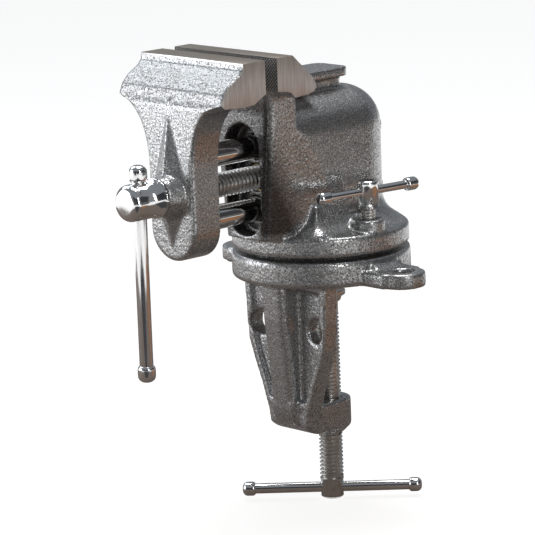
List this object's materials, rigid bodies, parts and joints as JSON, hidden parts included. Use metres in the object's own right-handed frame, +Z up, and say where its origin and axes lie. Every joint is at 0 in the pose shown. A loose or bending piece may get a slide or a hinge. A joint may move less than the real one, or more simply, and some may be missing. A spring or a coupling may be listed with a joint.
{
  "type": "bench vise",
  "caption": "Clamp-on swivel bench vise with integral serrated jaws, twin guide rods, a T-bar main screw, a small anvil and an under-bench clamp screw.",
  "frame": {"origin": "swivel axis on the bench face, the underside of the clamp base's disc", "axes": "+Z up; -Y toward the operator (movable jaw and main handle); +X the side with the swivel lock screw"},
  "size_m": [0.142, 0.1815, 0.2475],
  "materials": {
    "hammertone_casting": "silver-grey hammertone enamel over rough casting, machined jaw ends",
    "chrome_plate": "bright plated, mirror",
    "machined_steel": "turned, bright",
    "dark_steel": "oiled steel",
    "bronze_nut": "cast bronze, machined",
    "brass_pad": "turned"
  },
  "bodies": {
    "clamp_base": {"clamp_base": "hammertone_casting"},
    "vise_body": {"vise_body": "hammertone_casting", "main_nut": "bronze_nut", "nut_set_screw": "dark_steel", "swivel_pivot_bolt": "dark_steel", "swivel_pivot_washer": "dark_steel", "swivel_lock_pad": "brass_pad"},
    "swivel_lock": {"swivel_lock_screw": "machined_steel"},
    "swivel_lock_bar": {"swivel_lock_bar": "chrome_plate", "swivel_lock_knob_front": "chrome_plate", "swivel_lock_knob_rear": "chrome_plate"},
    "movable_jaw": {"movable_jaw": "hammertone_casting", "guide_rod_upper": "chrome_plate", "guide_rod_lower": "chrome_plate", "guide_rod_pin_upper": "dark_steel", "guide_rod_pin_lower": "dark_steel"},
    "main_screw": {"main_screw": "machined_steel", "screw_retaining_collar": "dark_steel", "retaining_collar_pin": "dark_steel"},
    "main_handle": {"main_handle_bar": "chrome_plate", "main_handle_knob_upper": "chrome_plate", "main_handle_knob_lower": "chrome_plate"},
    "pressure_pad": {"pressure_pad": "machined_steel", "pad_retaining_ring": "dark_steel"},
    "clamp_screw": {"clamp_screw": "machined_steel"},
    "clamp_bar": {"clamp_bar": "chrome_plate", "clamp_bar_knob_left": "chrome_plate", "clamp_bar_knob_right": "chrome_plate"}
  },
  "joints": [
    {"name": "swivel", "type": "hinge", "parent": "clamp_base", "child": "vise_body", "pos_m": [0, 0, 0.016], "axis": [0, 0, 1], "continuous": true},
    {"name": "swivel_lock_turn", "type": "hinge", "parent": "vise_body", "child": "swivel_lock", "pos_m": [0.0375, -0.0015, 0.0472], "axis": [0, 0, 1], "range_deg": [-6, 18]},
    {"name": "swivel_lock_bar_slide", "type": "slide", "parent": "swivel_lock", "child": "swivel_lock_bar", "axis": [0.1167, 0.9932, 0], "range_m": [-0.0185, 0.0185]},
    {"name": "jaw_slide", "type": "slide", "parent": "vise_body", "child": "movable_jaw", "axis": [0, -1, 0], "range_m": [-0.0078, 0.0555]},
    {"name": "main_screw_turn", "type": "hinge", "parent": "movable_jaw", "child": "main_screw", "pos_m": [0, -0.1, 0.0568], "axis": [0, -1, 0], "range_deg": [-1100, 7860]},
    {"name": "main_handle_slide", "type": "slide", "parent": "main_screw", "child": "main_handle", "axis": [0, 0, 1], "range_m": [0, 0.0735]},
    {"name": "pressure_pad_lift", "type": "slide", "parent": "clamp_base", "child": "pressure_pad", "axis": [0, 0, 1], "range_m": [-0.045, 0.0095]},
    {"name": "clamp_screw_turn", "type": "hinge", "parent": "pressure_pad", "child": "clamp_screw", "pos_m": [0, 0.0026, -0.1], "axis": [0, 0, 1], "range_deg": [-7700, 1625]},
    {"name": "clamp_bar_slide", "type": "slide", "parent": "clamp_screw", "child": "clamp_bar", "axis": [0.7071, 0.7071, 0], "range_m": [-0.034, 0.034]}
  ],
  "couplings": [
    {"joint": "jaw_slide", "follows": "main_screw_turn", "m_per_rad": 0.00040425},
    {"joint": "pressure_pad_lift", "follows": "clamp_screw_turn", "m_per_rad": 0.00033423}
  ]
}
